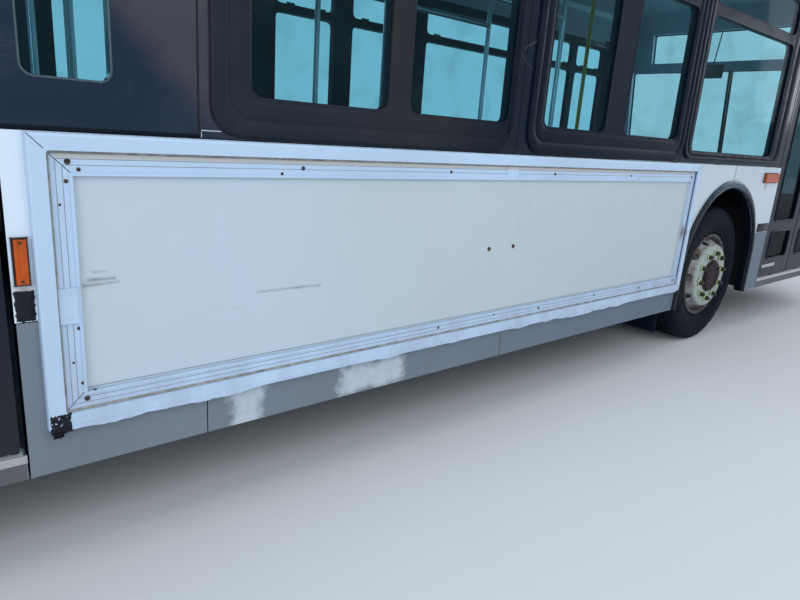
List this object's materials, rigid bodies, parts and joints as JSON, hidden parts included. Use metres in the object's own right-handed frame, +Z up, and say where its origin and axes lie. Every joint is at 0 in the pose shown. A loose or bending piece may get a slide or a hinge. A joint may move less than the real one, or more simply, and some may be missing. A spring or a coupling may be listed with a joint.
{
  "type": "city bus",
  "caption": "Low-floor city bus with a kerb-side entry and exit door, framed advertising boards, big side windows and turning wheels.",
  "frame": {"origin": "on the ground under the middle of the bus", "axes": "+X forward, +Y to the street side, +Z up"},
  "size_m": [12.2, 3.04, 3.01],
  "materials": {
    "panel_white": "gloss, worn",
    "skirt_grey": "satin, patched",
    "gloss_black": "gloss",
    "black_metal": "satin",
    "ad_frame": "painted, chipped",
    "ad_board": "satin, scratched",
    "rubber": "semi-gloss",
    "tyre": "matt",
    "glass": "tinted",
    "wheel_paint": "rust stained",
    "lens_clear": "clear",
    "lens_amber": "gloss",
    "lens_red": "gloss",
    "chassis_metal": "road dirt",
    "floor_grey": "ribbed",
    "seat_plastic": "moulded",
    "stainless": "brushed",
    "console": "grained",
    "engine_iron": "painted",
    "roof_white": "gloss, dusty"
  },
  "bodies": {
    "chassis": {"underframe": "chassis_metal", "floor": "floor_grey", "side_panels": "panel_white", "window_bands": "gloss_black", "skirts": "skirt_grey", "arch_flares": "rubber", "ad_frames": "ad_frame", "ad_boards": "ad_board", "window_frames": "rubber", "side_glass": "glass", "roof": "roof_white", "front_mask": "panel_white", "end_glass": "glass", "screen_pillar": "gloss_black", "rear_cap": "panel_white", "bumpers": "rubber", "lamps_clear": "lens_clear", "lamps_amber": "lens_amber", "lamps_red": "lens_red", "mirrors": "black_metal", "wipers": "black_metal", "dashboard": "console", "seats": "seat_plastic", "stanchions": "stainless", "engine": "engine_iron", "axles": "chassis_metal"},
    "hatch_front": {"roof_hatch_front": "roof_white"},
    "hatch_rear": {"roof_hatch_rear": "roof_white"},
    "engine_lid": {"engine_door": "panel_white"},
    "steer_right": {"knuckle_right": "chassis_metal"},
    "steer_left": {"knuckle_left": "chassis_metal"},
    "wheel_front_right": {"tyres_front_right": "tyre", "wheels_front_right": "wheel_paint"},
    "wheel_front_left": {"tyres_front_left": "tyre", "wheels_front_left": "wheel_paint"},
    "wheel_rear_right": {"tyres_rear_right": "tyre", "wheels_rear_right": "wheel_paint"},
    "wheel_rear_left": {"tyres_rear_left": "tyre", "wheels_rear_left": "wheel_paint"},
    "entry_arm_rear_body": {"entry_arm_rear": "black_metal"},
    "entry_leaf_rear_body": {"entry_leaf_rear": "gloss_black", "entry_glass_rear": "glass"},
    "exit_leaf_rear_body": {"exit_leaf_rear": "gloss_black", "exit_glass_rear": "glass"},
    "entry_arm_front_body": {"entry_arm_front": "black_metal"},
    "entry_leaf_front_body": {"entry_leaf_front": "gloss_black", "entry_glass_front": "glass"},
    "exit_leaf_front_body": {"exit_leaf_front": "gloss_black", "exit_glass_front": "glass"}
  },
  "joints": [
    {"name": "steering_right", "type": "hinge", "parent": "chassis", "child": "steer_right", "pos_m": [3.35, -0.88, 0.498], "axis": [0, 0, 1], "range_deg": [-40, 40]},
    {"name": "steering_left", "type": "hinge", "parent": "chassis", "child": "steer_left", "pos_m": [3.35, 0.88, 0.498], "axis": [0, 0, 1], "range_deg": [-40, 40]},
    {"name": "wheel_spin_front_right", "type": "hinge", "parent": "steer_right", "child": "wheel_front_right", "pos_m": [3.35, -1.08, 0.498], "axis": [0, 1, 0], "continuous": true},
    {"name": "wheel_spin_front_left", "type": "hinge", "parent": "steer_left", "child": "wheel_front_left", "pos_m": [3.35, 1.08, 0.498], "axis": [0, 1, 0], "continuous": true},
    {"name": "wheel_spin_rear_right", "type": "hinge", "parent": "chassis", "child": "wheel_rear_right", "pos_m": [-2.85, -1.08, 0.498], "axis": [0, 1, 0], "continuous": true},
    {"name": "wheel_spin_rear_left", "type": "hinge", "parent": "chassis", "child": "wheel_rear_left", "pos_m": [-2.85, 1.08, 0.498], "axis": [0, 1, 0], "continuous": true},
    {"name": "entry_arm_rear_turn", "type": "hinge", "parent": "chassis", "child": "entry_arm_rear_body", "pos_m": [4.161, -1.19, 1.357], "axis": [0, 0, 1], "range_deg": [0, 90]},
    {"name": "entry_arm_front_turn", "type": "hinge", "parent": "chassis", "child": "entry_arm_front_body", "pos_m": [5.539, -1.19, 1.357], "axis": [0, 0, 1], "range_deg": [-90, 0]},
    {"name": "entry_leaf_rear_turn", "type": "hinge", "parent": "entry_arm_rear_body", "child": "entry_leaf_rear_body", "pos_m": [4.5195, -1.19, 1.357], "axis": [0, 0, 1], "range_deg": [-180, 0]},
    {"name": "entry_leaf_front_turn", "type": "hinge", "parent": "entry_arm_front_body", "child": "entry_leaf_front_body", "pos_m": [5.1805, -1.19, 1.357], "axis": [0, 0, 1], "range_deg": [0, 180]},
    {"name": "exit_leaf_front_turn", "type": "hinge", "parent": "chassis", "child": "exit_leaf_front_body", "pos_m": [-1.068, -1.25, 1.357], "axis": [0, 0, 1], "range_deg": [0, 90]},
    {"name": "exit_leaf_rear_turn", "type": "hinge", "parent": "chassis", "child": "exit_leaf_rear_body", "pos_m": [-2.212, -1.25, 1.357], "axis": [0, 0, 1], "range_deg": [-90, 0]},
    {"name": "engine_lid_lift", "type": "hinge", "parent": "chassis", "child": "engine_lid", "pos_m": [-6.068, 0, 1.4], "axis": [0, 1, 0], "range_deg": [0, 75]},
    {"name": "hatch_front_lift", "type": "hinge", "parent": "chassis", "child": "hatch_front", "pos_m": [3.14, 0, 2.972], "axis": [0, 1, 0], "range_deg": [0, 80]},
    {"name": "hatch_rear_lift", "type": "hinge", "parent": "chassis", "child": "hatch_rear", "pos_m": [-2.66, 0, 2.972], "axis": [0, 1, 0], "range_deg": [0, 80]}
  ],
  "couplings": [
    {"joint": "steering_left", "follows": "steering_right", "ratio": 1},
    {"joint": "entry_leaf_rear_turn", "follows": "entry_arm_rear_turn", "ratio": -2},
    {"joint": "entry_arm_front_turn", "follows": "entry_arm_rear_turn", "ratio": -1},
    {"joint": "entry_leaf_front_turn", "follows": "entry_arm_rear_turn", "ratio": 2},
    {"joint": "exit_leaf_rear_turn", "follows": "exit_leaf_front_turn", "ratio": -1}
  ]
}
